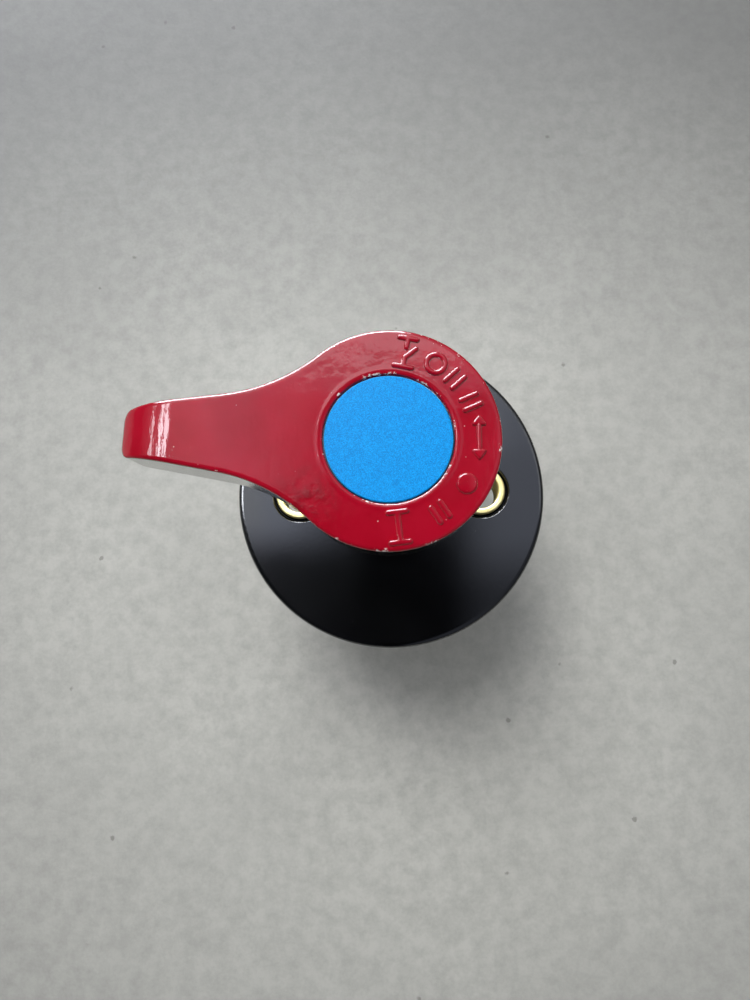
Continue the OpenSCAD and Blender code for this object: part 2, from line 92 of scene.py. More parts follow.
OFF_TURN = math.radians(-3.6)
LEVER_LO, LEVER_HI = box_mm("lever")
BADGE_LO, BADGE_HI = box_mm("badge_disc")
RING_R = max(LEVER_HI.x, LEVER_HI.y)
LEVER_TOP = BADGE_LO.z + 1.5
LEVER_BOTTOM = LEVER_TOP - 13.0
ARM_REACH = 46.5
ARM_TAPER = 8.5
TIP_W = 8.1
TIP_CORNER = 2.2
FLARE_R = 31.0
LEVER_EDGE = 0.6
LEVER_DRAFT = 0.35
NOSE_R = 12.0
NOSE_X = NOSE_R - ARM_REACH - 2.0
HUB_R = 9.5
BADGE_R = (BADGE_HI.x - BADGE_LO.x) / 2
RECESS_R = BADGE_R + 0.25
MARK_H = LEVER_HI.z - LEVER_TOP
MARK_W = 0.95
MARK_ROUND = 0.4
MARK_FOOT = LEVER_TOP - 1.0
MARK_TOP = LEVER_TOP + MARK_H - EPS
BEAD_H = 0.07
MARK_R = (RECESS_R + RING_R) / 2

COVER_LO, COVER_HI = box_mm("rear_cover")
STUD_LO, STUD_HI = box_mm("terminal_studs")
NUT_LO, NUT_HI = box_mm("stud_nuts")
WASHER_LO, WASHER_HI = box_mm("stud_washers")
SPLIT_LO, SPLIT_HI = box_mm("stud_spring_washers")
SCREW_LO, SCREW_HI = box_mm("cover_screws")
GASKET_LO = box_mm("cover_gasket")[0]
FLOOR_Z = STUD_LO.z
WASHER_R = WASHER_HI.x
STUD_Y = WASHER_HI.y - WASHER_R
STUD_R = 5.0
COVER_BACK = WASHER_HI.z
SCREW_HEAD_R = 3.9
SCREW_X = SCREW_HI.x - SCREW_HEAD_R
SCREW_Y = SCREW_HI.y - SCREW_HEAD_R
COVER_RIB = (23.0, 3.0)
COVER_INSIDE = (19.38, 47.38)
STUD_HEAD = (14, 13)
STUD_HEAD_T = 4.5
SHANK_R = 4.6
SHANK_TOP = -40.3
WASHER_BORE_R = 5.3


# ---------- mesh helpers, all in millimetres ----------

def settle(mesh, weld=True, outward=True):
    """Merges points that lie on each other, drops the faces this empties, turns faces outwards."""
    bm = bmesh.new()
    bm.from_mesh(mesh)
    if weld:
        bmesh.ops.remove_doubles(bm, verts=bm.verts, dist=SAME_POINT)
    if outward:
        bmesh.ops.recalc_face_normals(bm, faces=bm.faces)
    bm.to_mesh(mesh)
    bm.free()


def new_piece(name, verts, faces):
    """A mesh object from points in millimetres."""
    mesh = bpy.data.meshes.new(name)
    mesh.from_pydata([tuple(c * MM for c in v) for v in verts], [], faces)
    obj = bpy.data.objects.new(name, mesh)
    SCENE.collection.objects.link(obj)
    settle(mesh, weld=False)
    return obj


def arc(cx, cy, r, start, end, steps):
    """Points on an arc, angles in degrees."""
    angles = np.radians(np.linspace(start, end, steps + 1))
    return [(cx + r * math.cos(a), cy + r * math.sin(a)) for a in angles]


def rounded(corners, steps=5):
    """A closed outline from corners (x, y, radius), each corner turned into an arc."""
    out = []
    count = len(corners)
    for i, (x, y, radius) in enumerate(corners):
        here = Vector((x, y))
        to_last = (Vector(corners[i - 1][:2]) - here).normalized()
        to_next = (Vector(corners[(i + 1) % count][:2]) - here).normalized()
        if radius <= 0:
            out.append((x, y))
            continue
        half = to_last.angle(to_next) / 2
        reach = radius / math.tan(half)
        centre = here + (to_last + to_next).normalized() * radius / math.sin(half)
        a = here + to_last * reach - centre
        b = here + to_next * reach - centre
        turn = a.angle_signed(b)
        start = math.atan2(a.y, a.x)
        for k in range(steps + 1):
            angle = start - turn * k / steps
            out.append((centre.x + radius * math.cos(angle), centre.y + radius * math.sin(angle)))
    return out


def lathe(name, profile, segments=96, centre=(0, 0)):
    """Turns a closed outline of (radius, z) points round a vertical axis."""
    verts, faces, rings = [], [], []
    for r, z in profile:
        count = 1 if r < 1e-6 else segments
        rings.append(list(range(len(verts), len(verts) + count)))
        for k in range(count):
            a = 2 * math.pi * k / segments
            verts.append((centre[0] + r * math.cos(a), centre[1] + r * math.sin(a), z))
    for low, high in zip(rings, rings[1:] + rings[:1]):
        for k in range(segments):
            n = (k + 1) % segments
            face = [low[k % len(low)], low[n % len(low)], high[n % len(high)], high[k % len(high)]]
            face = list(dict.fromkeys(face))
            if len(face) > 2:
                faces.append(face)
    return new_piece(name, verts, faces)


def loft(name, rows):
    """Joins rows of (x, y, z) points into a closed body with a flat cap at each end."""
    count = len(rows[0])
    verts = [p for row in rows for p in row]
    faces = []
    for i in range(len(rows) - 1):
        for k in range(count):
            n = (k + 1) % count
            faces.append([i * count + k, i * count + n, (i + 1) * count + n, (i + 1) * count + k])
    faces.append(list(range(count))[::-1])
    faces.append(list(range((len(rows) - 1) * count, len(rows) * count)))
    return new_piece(name, verts, faces)


def edge_rows(z0, z1, low_r, high_r, steps=5, draft=0.0):
    """(inset, z) rows of a wall with a rounded lower and upper edge; draft is the inset at its foot."""
    rows = []
    for k in range(steps + 1):
        a = math.pi / 2 * k / steps
        rows.append((low_r * (1 - math.sin(a)), z0 + low_r * (1 - math.cos(a))))
    for k in range(steps + 1):
        a = math.pi / 2 * k / steps
        rows.append((high_r * (1 - math.cos(a)), z1 - high_r * (1 - math.sin(a))))
    return [(inset + draft * (z1 - z) / (z1 - z0), z) for inset, z in rows]


def prism(name, outline, z0, z1, low_r=0.0, high_r=0.0, steps=5, draft=0.0):
    """An upright body whose plan is outline(inset), with rounded edges."""
    rows = [(0, z0), (0, z1)]
    if low_r + high_r > 0:
        rows = edge_rows(z0, z1, low_r, high_r, steps, draft)
    return loft(name, [[(x, y, z) for x, y in outline(inset)] for inset, z in rows])


def rect_outline(w, l, corner, cx=0.0, cy=0.0):
    """Plan of a rounded rectangle, as a function of inset."""
    def outline(inset):
        x, y, r = w / 2 - inset, l / 2 - inset, max(corner - inset, 0.05)
        corners = [(x, y, r), (-x, y, r), (-x, -y, r), (x, -y, r)]
        return [(px + cx, py + cy) for px, py in rounded(corners)]
    return outline


def bake(obj):
    """Applies all modifiers."""
    dg = bpy.context.evaluated_depsgraph_get()
    mesh = bpy.data.meshes.new_from_object(obj.evaluated_get(dg))
    obj.modifiers.clear()
    obj.data = mesh
    return obj


def combine(obj, tool, operation):
    """Boolean of two closed bodies; the tool is used up."""
    mod = obj.modifiers.new("combine", "BOOLEAN")
    mod.operation = operation
    mod.solver = "MANIFOLD"
    mod.object = tool
    bake(obj)
    bpy.data.objects.remove(tool)
    return obj


def cut(obj, tool):
    """Takes the tool's body out of the piece."""
    return combine(obj, tool, "DIFFERENCE")


def cad_copy(node, name):
    """A welded copy of a CAD node's mesh, to be worked on."""
    mesh = frame["nodes"][node].data.copy()
    mesh.materials.clear()
    obj = bpy.data.objects.new(name, mesh)
    SCENE.collection.objects.link(obj)
    settle(mesh)
    for attribute in ("custom_normal", "sharp_face", "sharp_edge"):
        if attribute in mesh.attributes:
            mesh.attributes.remove(mesh.attributes[attribute])
    return obj


def join(name, objs):
    """One object from many, without a boolean."""
    bm = bmesh.new()
    for obj in objs:
        obj.data.transform(obj.matrix_basis)
        bm.from_mesh(obj.data)
        bpy.data.objects.remove(obj)
    mesh = bpy.data.meshes.new(name)
    bm.to_mesh(mesh)
    bm.free()
    out = bpy.data.objects.new(name, mesh)
    SCENE.collection.objects.link(out)
    return out


def shade(obj, sharp=35):
    """Smooth shading that keeps edges sharper than this angle in degrees."""
    mesh = obj.data
    settle(mesh, outward=False)
    mesh.polygons.foreach_set("use_smooth", [True] * len(mesh.polygons))
    mesh.set_sharp_from_angle(angle=math.radians(sharp))
    mod = obj.modifiers.new("even_normals", "WEIGHTED_NORMAL")
    mod.keep_sharp = True
    return bake(obj)


def bevel(obj, width, segments=3, angle=35):
    """Small rounded bevels on edges sharper than this angle."""
    mod = obj.modifiers.new("bevel", "BEVEL")
    mod.width = width * MM
    mod.segments = segments
    mod.angle_limit = math.radians(angle)
    mod.harden_normals = False
    return bake(obj)


def dress(obj, body, mat, slot, *nodes):
    """Gives a piece its body and finish, and hides the CAD nodes it stands for; the slot argument is not
    used.
    """
    obj.data.materials.clear()
    obj.data.materials.append(mat)
    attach(obj, body)
    if nodes:
        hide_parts(*nodes)
    return obj


# ---------- material helpers ----------

def add(tree, kind, inputs=None, **settings):
    """A shader node with its settings and inputs; an input may be a value or a socket."""
    node = tree.nodes.new(kind)
    for key, value in settings.items():
        setattr(node, key, value)
    for key, value in (inputs or {}).items():
        if isinstance(value, bpy.types.NodeSocket):
            tree.links.new(value, node.inputs[key])
        else:
            node.inputs[key].default_value = value
    return node


def new_material(name):
    """A material, its node tree and its main shader."""
    mat = bpy.data.materials.new(name)
    mat.use_nodes = True
    tree = mat.node_tree
    return mat, tree, tree.nodes["Principled BSDF"]


def coords_mm(tree):
    """Object coordinates in millimetres."""
    place = add(tree, "ShaderNodeTexCoord")
    inputs = {0: place.outputs["Object"], 3: 1 / MM}
    return add(tree, "ShaderNodeVectorMath", inputs, operation="SCALE").outputs[0]


def stretched(tree, coords, factors):
    """Coordinates scaled by a factor along each axis."""
    inputs = {0: coords, 1: factors}
    return add(tree, "ShaderNodeVectorMath", inputs, operation="MULTIPLY").outputs[0]


def distance(tree, coords, place):
    """Distance from a place, in the coordinates' own unit."""
    inputs = {0: coords, 1: place}
    return add(tree, "ShaderNodeVectorMath", inputs, operation="DISTANCE").outputs["Value"]


def cell_distance(tree, coords, scale):
    """Distance to the nearest of many scattered points, 1/scale millimetres apart."""
    inputs = {"Vector": coords, "Scale": scale, "Randomness": 1.0}
    return add(tree, "ShaderNodeTexVoronoi", inputs).outputs["Distance"]


def noise(tree, coords, scale, detail=3.0, rough=0.5, stretch=None):
    """Noise with features of about 1/scale millimetres."""
    if stretch:
        coords = stretched(tree, coords, stretch)
    inputs = {"Vector": coords, "Scale": scale, "Detail": detail, "Roughness": rough}
    return add(tree, "ShaderNodeTexNoise", inputs).outputs["Fac"]


def remap(tree, value, low, high, out_low=0.0, out_high=1.0):
    """Straight-line change of range, held at both ends."""
    node = add(tree, "ShaderNodeMapRange", {
        "Value": value, "From Min": low, "From Max": high, "To Min": out_low, "To Max": out_high})
    return node.outputs["Result"]


def calc(tree, operation, a, b=0.0):
    """One step of arithmetic."""
    return add(tree, "ShaderNodeMath", {0: a, 1: b}, operation=operation).outputs[0]


def times(tree, a, b):
    """Product."""
    return calc(tree, "MULTIPLY", a, b)


def plus(tree, a, b):
    """Sum."""
    return calc(tree, "ADD", a, b)


def mix(tree, share, a, b):
    """Colour a, turning to b as share goes to 1."""
    return add(tree, "ShaderNodeMix", {0: share, 6: a, 7: b}, data_type="RGBA").outputs[2]


def rgb(r, g, b):
    """An opaque colour."""
    return (r, g, b, 1.0)


def attribute(tree, name):
    """A value stored per vertex."""
    return add(tree, "ShaderNodeAttribute", attribute_name=name).outputs["Fac"]


def bump(tree, height, depth_mm):
    """Bump from a 0 to 1 height; depth is the height of 1, in millimetres."""
    inputs = {"Height": height, "Distance": depth_mm * MM, "Strength": 1.0}
    return add(tree, "ShaderNodeBump", inputs).outputs["Normal"]


def wire(tree, shader, **inputs):
    """Sets inputs of the main shader; underscores stand for spaces."""
    for key, value in inputs.items():
        socket = shader.inputs[key.replace("_", " ")]
        if isinstance(value, bpy.types.NodeSocket):
            tree.links.new(value, socket)
        else:
            socket.default_value = value


# ---------- materials ----------

# the middle of the worn, dented patch, whose darker red is partly painted shade, how far the enamel runs down
# the side walls, and its relief
PATCH_PLACE = (-13.6, -9.8, LEVER_TOP)
PAINT_DEPTH = 1.4
RELIEF = 0.012


def worn_patch_and_dent_shade(tree, p):
    """Shares of dark and of pale paint in the worn, dented patch beside the disc; the dark share is partly
    worn enamel and partly painted shade of the dents.
    """
    near = remap(tree, distance(tree, p, PATCH_PLACE), 1.0, 6.5, 1.0, 0.0)
    dark = times(tree, near, remap(tree, noise(tree, p, 0.5, 3, 0.5), 0.42, 0.62))
    pale = times(tree, near, remap(tree, noise(tree, p, 1.1, 5, 0.7), 0.56, 0.66))
    return dark, pale


def specks(tree, p, scale, inner, outer):
    """Small round specks, full up to the inner radius and gone at the outer one."""
    return remap(tree, cell_distance(tree, p, scale), inner, outer, 1.0, 0.0)


def edge_chips(tree, p):
    """Share of pale primer where the enamel is chipped along its edges."""
    ragged = times(tree, noise(tree, p, 1.7, 5, 0.7), 0.9)
    large = remap(tree, noise(tree, p, 0.22, 2), 0.42, 0.6, 0.25, 1.0)
    worn = times(tree, attribute(tree, "rim"), large)
    return remap(tree, plus(tree, ragged, times(tree, worn, 0.34)), 0.775, 0.795)


def bare_metal(tree, p):
    """1 on the side walls below the paint's lower edge, 0 on the paint."""
    depth = plus(tree, attribute(tree, "paint_depth"), times(tree, noise(tree, p, 0.8, 3), 0.25))
    return remap(tree, depth, PAINT_DEPTH - 0.02, PAINT_DEPTH + 0.02)


def paint_relief(tree, p, patch, chip, bare):
    """Height of the enamel's peel, waves, ripples and dents, and of the casting's grain."""
    height = noise(tree, p, 0.6, 3, 0.45)
    layers = (
        (noise(tree, p, 0.16, 2, 0.4), 0.8),
        (noise(tree, p, 1.2, 2, 0.5, (1.3, 0.3, 1.3)), 1.7),
        (noise(tree, p, 0.45, 3, 0.5), 3.5),
        (patch, 2.2),
        (chip, -1.2),
        (times(tree, bare, noise(tree, p, 4.0, 3, 0.6)), 0.6),
    )
    for layer, share in layers:
        height = plus(tree, height, times(tree, layer, share))
    return height


def red_paint():
    """Thick glossy red enamel, chipped at its edges, over a bare metal casting."""
    mat, tree, shader = new_material("red_enamel")
    p = coords_mm(tree)
    dark, pale = worn_patch_and_dent_shade(tree, p)
    chip = edge_chips(tree, p)
    bare = bare_metal(tree, p)
    dusty = remap(tree, noise(tree, p, 0.2, 2), 0.5, 0.55)
    speck = times(tree, specks(tree, p, 0.5, 0.035, 0.06), dusty)
    cloud = remap(tree, noise(tree, p, 0.12, 4), 0.35, 0.65)
    red = mix(tree, cloud, rgb(0.34, 0.0025, 0.014), rgb(0.40, 0.004, 0.02))
    # darker red in the patch: partly worn enamel, partly painted shade of its dents
    red = mix(tree, times(tree, dark, 0.6), red, rgb(0.15, 0.002, 0.007))
    red = mix(tree, times(tree, pale, 0.3), red, rgb(0.50, 0.07, 0.08))
    paint = mix(tree, calc(tree, "MAXIMUM", chip, times(tree, speck, 0.6)), red, rgb(0.85, 0.78, 0.76))
    stain = remap(tree, noise(tree, p, 0.5, 4), 0.3, 0.7)
    casting = mix(tree, stain, rgb(0.34, 0.335, 0.32), rgb(0.41, 0.40, 0.385))
    rough = remap(tree, noise(tree, p, 0.25, 3), 0.3, 0.7, 0.05, 0.09)
    rough = plus(tree, rough, times(tree, plus(tree, dark, bare), 0.05))
    wire(tree, shader, Base_Color=mix(tree, bare, paint, casting), Roughness=rough, Metallic=bare,
         IOR=1.5, Normal=bump(tree, paint_relief(tree, p, dark, chip, bare), RELIEF))
    return mat


def blue_satin():
    """Satin blue paint with a fine metallic grain."""
    mat, tree, shader = new_material("blue_satin")
    p = coords_mm(tree)
    grain = noise(tree, p, 5.5, 3, 0.8)
    colour = mix(tree, remap(tree, grain, 0.38, 0.62), rgb(0.0, 0.18, 0.61), rgb(0.0, 0.42, 0.98))
    wire(tree, shader, Base_Color=colour, Roughness=remap(tree, grain, 0.3, 0.7, 0.34, 0.5),
         Normal=bump(tree, grain, 0.03), IOR=1.2, Specular_IOR_Level=0.3)
    return mat


def bush_gap_painted_shade(tree, p):
    """0 in the gap and on the low chamfer round each bush, where painted shade takes the reflection away, 1
    elsewhere.
    """
    axis = add(tree, "ShaderNodeSeparateXYZ", {0: p})
    across = calc(tree, "SUBTRACT", calc(tree, "ABSOLUTE", axis.outputs["X"]), BOLT_X)
    radius = add(tree, "ShaderNodeCombineXYZ", {0: across, 1: axis.outputs["Y"]}).outputs[0]
    outside = remap(tree, distance(tree, radius, (0, 0, 0)), 5.95, 7.0)
    raised = remap(tree, axis.outputs["Z"], -0.12, -0.02)
    return calc(tree, "MAXIMUM", outside, raised)


def black_moulding():
    """Black phenolic moulding: satin gloss with faint flow and dust."""
    mat, tree, shader = new_material("black_phenolic")
    p = coords_mm(tree)
    dust = times(tree, specks(tree, p, 0.22, 0.02, 0.035), 0.35)
    colour = mix(tree, dust, rgb(0.0012, 0.0012, 0.0016), rgb(0.12, 0.12, 0.13))
    rough = remap(tree, noise(tree, p, 0.06, 4), 0.3, 0.7, 0.11, 0.15)
    flow = noise(tree, p, 1.2, 4, 0.55)
    # painted shade: no reflection in the gap round each bush
    wire(tree, shader, Base_Color=colour, Roughness=rough, IOR=2.0, Normal=bump(tree, flow, 0.006),
         Specular_IOR_Level=times(tree, bush_gap_painted_shade(tree, p), 0.5))
    return mat


def metal(name, dark, light, rough):
    """A bare metal with fine grain and slight tarnish."""
    mat, tree, shader = new_material(name)
    p = coords_mm(tree)
    tarnish = noise(tree, p, 0.35, 5, 0.6)
    grain = noise(tree, p, 3.0, 3, 0.6)
    colour = mix(tree, remap(tree, tarnish, 0.35, 0.65), rgb(*dark), rgb(*light))
    wire(tree, shader, Base_Color=colour, Metallic=1.0,
         Roughness=remap(tree, grain, 0.3, 0.7, rough - 0.06, rough + 0.08),
         Normal=bump(tree, grain, 0.004))
    return mat


def rubber():
    """Matt black rubber."""
    mat, tree, shader = new_material("seal_rubber")
    p = coords_mm(tree)
    fine = noise(tree, p, 2.2, 4, 0.6)
    colour = mix(tree, fine, rgb(0.008, 0.008, 0.009), rgb(0.03, 0.03, 0.03))
    wire(tree, shader, Base_Color=colour, Roughness=remap(tree, fine, 0.3, 0.7, 0.6, 0.8),
         Normal=bump(tree, fine, 0.02))
    return mat


def resin():
    """Brown moulded resin with streaks along its flow."""
    mat, tree, shader = new_material("cam_resin")
    p = coords_mm(tree)
    flow = noise(tree, p, 0.3, 5, 0.6, (1, 1, 3))
    colour = mix(tree, remap(tree, flow, 0.3, 0.7), rgb(0.10, 0.035, 0.012), rgb(0.20, 0.08, 0.03))
    wire(tree, shader, Base_Color=colour, Roughness=remap(tree, flow, 0.3, 0.7, 0.35, 0.5),
         Normal=bump(tree, noise(tree, p, 1.8, 3), 0.008))
    return mat


FINISH = {
    "red_paint": red_paint(),
    "blue_disc": blue_satin(),
    "housing_moulding": black_moulding(),
    "brass_parts": metal("brass", (0.60, 0.50, 0.21), (0.71, 0.62, 0.31), 0.47),
    "steel_parts": metal("zinc_steel", (0.50, 0.51, 0.54), (0.66, 0.67, 0.70), 0.3),
    "spring_steel": metal("spring_steel", (0.38, 0.38, 0.40), (0.52, 0.52, 0.54), 0.28),
    "copper_parts": metal("copper", (0.62, 0.28, 0.17), (0.80, 0.42, 0.27), 0.3),
    "silver_tips": metal("silver", (0.80, 0.80, 0.80), (0.90, 0.90, 0.90), 0.24),
    "seal_rubber": rubber(),
    "cam_resin": resin(),
}


def finish_cad_nodes():
    """Every CAD node takes the procedural finish of its record slot."""
    for row in frame["record"]["subparts"]:
        mesh = frame["nodes"][row["node"]].data
        mesh.materials.clear()
        mesh.materials.append(FINISH[row["material_slot"]])


# ---------- lever ----------

def lever_side(inset):
    """One side of the lever's plan: ring, hollow flare, tapered arm and tip corner."""
    taper = math.radians(ARM_TAPER)
    centre_off = (TIP_W / 2 + ARM_REACH * math.tan(taper)) * math.cos(taper) + FLARE_R
    centre_run = math.sqrt((RING_R + FLARE_R) ** 2 - centre_off ** 2)
    flare_x = centre_off * math.sin(taper) + centre_run * math.cos(taper)
    flare_y = centre_off * math.cos(taper) - centre_run * math.sin(taper)
    angle = math.degrees(math.atan2(flare_y, -flare_x))
    ring = arc(0, 0, RING_R - inset, 0, angle, 130)
    flare = arc(-flare_x, flare_y, FLARE_R + inset, angle - 180, ARM_TAPER - 90, 40)
    tip_x = -ARM_REACH + inset + TIP_CORNER
    tip_y = TIP_W / 2 + (tip_x + ARM_REACH) * math.tan(taper) - (TIP_CORNER + inset) / math.cos(taper)
    return ring + flare + arc(tip_x, tip_y, TIP_CORNER, 90 + ARM_TAPER, 180, 8)


def lever_plan(inset):
    """The lever's whole plan, drawn in by inset."""
    side = lever_side(inset)
    return side + [(x, -y) for x, y in side[:0:-1]]


def nose_scale(x):
    """Share of the lever's full depth that is left at x, where the nose curves down."""
    # a little short of the quarter circle's end, where its depth would be nothing
    reach = np.clip(NOSE_X - x, 0, NOSE_R * 0.999)
    top = LEVER_TOP - NOSE_R + np.sqrt(NOSE_R ** 2 - reach ** 2)
    return (top - LEVER_BOTTOM) / (LEVER_TOP - LEVER_BOTTOM)


def points_of(obj):
    """The mesh's points in millimetres."""
    co = np.zeros(len(obj.data.vertices) * 3)
    obj.data.vertices.foreach_get("co", co)
    return co.reshape(-1, 3) / MM


def set_points(obj, co):
    """Writes points in millimetres back to the mesh."""
    obj.data.vertices.foreach_set("co", (co * MM).astype(np.float32).ravel())
    obj.data.update()


def turn_plan(co, angle):
    """Points turned about the shaft axis."""
    c, s = math.cos(angle), math.sin(angle)
    out = co.copy()
    out[:, 0] = c * co[:, 0] - s * co[:, 1]
    out[:, 1] = s * co[:, 0] + c * co[:, 1]
    return out


def bar(name, x0, y0, x1, y1, width=MARK_W):
    """A raised stroke with round ends and a rounded top."""
    angle = math.degrees(math.atan2(y1 - y0, x1 - x0))

    def outline(inset):
        r = width / 2 - inset
        return arc(x1, y1, r, angle - 90, angle + 90, 8) + arc(x0, y0, r, angle + 90, angle + 270, 8)
    return prism(name, outline, MARK_FOOT, MARK_TOP, 0.0, MARK_ROUND)


def contact_mark(blade_x):
    """A drawn contact: two stems with end bars, and a blade whose tip stands off by blade_x."""
    stem_start, stem_end, bar_half = 0.9, 2.5, 1.5
    parts = [bar("blade", 0, -stem_start, blade_x, stem_start)]
    for side in (-1, 1):
        parts.append(bar("stem", 0, side * stem_start, 0, side * stem_end))
        parts.append(bar("end", -bar_half, side * stem_end, bar_half, side * stem_end))
    return parts


def off_ring():
    """The circle that stands for off."""
    outer = 2.05
    inner = outer - MARK_W
    profile = rounded([(inner, MARK_FOOT, 0), (outer, MARK_FOOT, 0), (outer, MARK_TOP, MARK_ROUND),
                       (inner, MARK_TOP, MARK_ROUND)])
    return [lathe("off_ring", profile, 48)]


def turn_arrow():
    """Double-headed arrow for the two ways to turn."""
    tip, head_l, head_half, head_inner_r, shaft_w = 3.9, 1.9, 1.4, 0.75, 0.85
    neck = tip - head_l
    mid = tip - head_l * 0.62
    parts = [bar("arrow_shaft", -neck, 0, neck, 0, shaft_w)]
    for side in (-1, 1):
        def outline(inset, side=side):
            scale = 1 - inset / head_inner_r
            shape = rounded([(side * tip, 0, 0.25), (side * neck, head_half, 0.25),
                             (side * neck, -head_half, 0.25)], 4)
            return [(side * mid + (x - side * mid) * scale, y * scale) for x, y in shape]
        parts.append(prism("arrow_head", outline, MARK_FOOT, MARK_TOP, 0.0, 0.35))
    return parts


def bars():
    """A pair of bars that point at the shaft."""
    apart, half = 0.9, 1.4
    return [bar("bars", x, -half, x, half) for x in (-apart, apart)]


def on_dot():
    """The dot that stands for on."""
    r = 1.75
    profile = rounded([(0, MARK_FOOT, 0), (r, MARK_FOOT, 0), (r, MARK_TOP, 0.45), (0, MARK_TOP, 0)])
    return [lathe("on_dot", profile, 48)]


def place_on_ring(parts, degrees):
    """Joins a mark's strokes and moves it to its place on the ring, its +Y pointing outwards."""
    mark = parts[0]
    for part in parts[1:]:
        combine(mark, part, "UNION")
    mark.data.materials.clear()
    co = points_of(mark)
    co[:, 1] += MARK_R
    set_points(mark, turn_plan(co, math.radians(degrees - 90)))
    return mark


def ring_marks():
    """Generic marks by angle round the ring: off side above the arrow, on side below it."""
    marks = [place_on_ring(contact_mark(1.6), 81.2), place_on_ring(off_ring(), 60.3)]
    marks += [place_on_ring(bars(), degrees) for degrees in (44.4, 26.1, -53.5)]
    marks += [place_on_ring(turn_arrow(), 2.3), place_on_ring(on_dot(), -28.7)]
    marks.append(place_on_ring(contact_mark(0.0), -81.1))
    return join("ring_marks", marks)


def lever_core():
    """The lever's solid before its nose is bent: CAD inside, rounded edges outside."""
    core = cad_copy("lever", "lever_skin")
    co = turn_plan(points_of(core), -OFF_TURN)
    above = co[:, 2] > LEVER_BOTTOM + EPS
    scale = np.where(above, nose_scale(co[:, 0]), 1.0)
    co[:, 2] = LEVER_BOTTOM + (co[:, 2] - LEVER_BOTTOM) / scale
    set_points(core, co)
    envelope = prism("envelope", lambda inset: lever_plan(inset + 2 * EPS),
                     LEVER_BOTTOM + EPS, LEVER_TOP - EPS, 0.5, LEVER_EDGE, 8, LEVER_DRAFT)
    combine(core, envelope, "INTERSECT")
    return core


def recess_cutter():
    """Seat of the disc, with a small rounded lip."""
    profile = rounded([(0, BADGE_LO.z, 0), (RECESS_R, BADGE_LO.z, 0.1),
                       (RECESS_R, LEVER_TOP - 0.2, 0.3), (RECESS_R + 0.5, LEVER_TOP + 0.5, 0),
                       (0, LEVER_TOP + 0.5, 0)])
    return lathe("recess", profile, 160)


def lever_hub():
    """Boss under the lever that sits over the shaft."""
    bore_r, foot, top = 6.2, LEVER_LO.z + 2 * EPS, LEVER_BOTTOM + 3
    profile = rounded([(bore_r, foot, 0.3), (HUB_R, foot, 0.5), (HUB_R, top, 0), (bore_r, top, 0)])
    return lathe("hub", profile, 96)


def outline_gap(co):
    """Distance of the upper edge's points from the lever's outline; other points count as far away."""
    line = np.array(lever_plan(0.0))
    far_away, edge_depth = 9.0, 1.6
    gap = np.full(len(co), far_away)
    top = np.where(co[:, 2] > LEVER_TOP - edge_depth)[0]
    for chunk in np.array_split(top, max(1, len(top) // 4000)):
        run = co[chunk, None, :2] - line[None, :, :]
        gap[chunk] = np.sqrt((run ** 2).sum(2).min(1))
    return gap


def bead(gap, place, half):
    """A rounded ridge at a distance from an edge, 0 to 1."""
    return np.exp(-((gap - place) / half) ** 2)


def paint_bead(co):
    """Rise of the thick lip that the enamel forms round the disc's recess."""
    face = (co[:, 2] > LEVER_TOP - 0.1) & (co[:, 2] < LEVER_TOP + 0.05)
    return BEAD_H * bead(np.hypot(co[:, 0], co[:, 1]) - RECESS_R, 0.75, 0.35) * face


def edge_nearness(co, gap):
    """How close a point is to the outer edge or to the disc's recess, 0 to 1; the marks count 0.55."""
    outer = bead(gap, 0, 0.9)
    recess = bead(np.hypot(co[:, 0], co[:, 1]) - RECESS_R, 0.15, 0.4)
    recess[co[:, 2] < LEVER_TOP - 0.5] = 0
    raised = np.where(co[:, 2] > LEVER_TOP + 0.2, 0.55, 0.0)
    return np.maximum(np.maximum(outer, recess), raised)


def store(obj, name, values):
    """A value per vertex, for the shader to read."""
    layer = obj.data.attributes.new(name, "FLOAT", "POINT")
    layer.data.foreach_set("value", values.astype(np.float32))


VOXEL = 0.2


def build_lever():
    """The lever's skin: soft cast edges, a crisp recess and raised marks, then the nose's bend."""
    lever = join("lever_skin", [lever_core(), lever_hub()])
    remesh = lever.modifiers.new("melt", "REMESH")
    remesh.mode = "VOXEL"
    remesh.voxel_size = VOXEL * MM
    smooth = lever.modifiers.new("soften", "SMOOTH")
    smooth.factor = 0.5
    smooth.iterations = 2
    bake(lever)
    cut(lever, recess_cutter())
    combine(lever, ring_marks(), "UNION")
    co = points_of(lever)
    # the nose's blunt end is painted all the way down
    beside = np.clip((co[:, 0] + ARM_REACH) / 0.8, 0, 1)
    store(lever, "paint_depth", (LEVER_TOP - co[:, 2]) * beside)
    store(lever, "rim", edge_nearness(co, outline_gap(co)))
    co[:, 2] += paint_bead(co)
    above = co[:, 2] > LEVER_BOTTOM
    co[above, 2] = LEVER_BOTTOM + (co[above, 2] - LEVER_BOTTOM) * nose_scale(co[above, 0])
    set_points(lever, turn_plan(co, OFF_TURN))
    dress(shade(lever, 42), "lever", FINISH["red_paint"], "red_paint", "lever")
    # the photograph's flange shows no mirror image of the lever
    lever.visible_glossy = False


def build_badge():
    """The blue disc, with a small rounded edge."""
    low, high, r = BADGE_LO.z, BADGE_HI.z, BADGE_R
    profile = rounded([(0, low, 0), (r, low, 0.1), (r, high, 0.22), (0, high, 0)])
    badge = shade(lathe("badge_face", profile, 160), 50)
    dress(badge, "lever", FINISH["blue_disc"], "blue_disc", "badge_disc")


# ---------- housing ----------

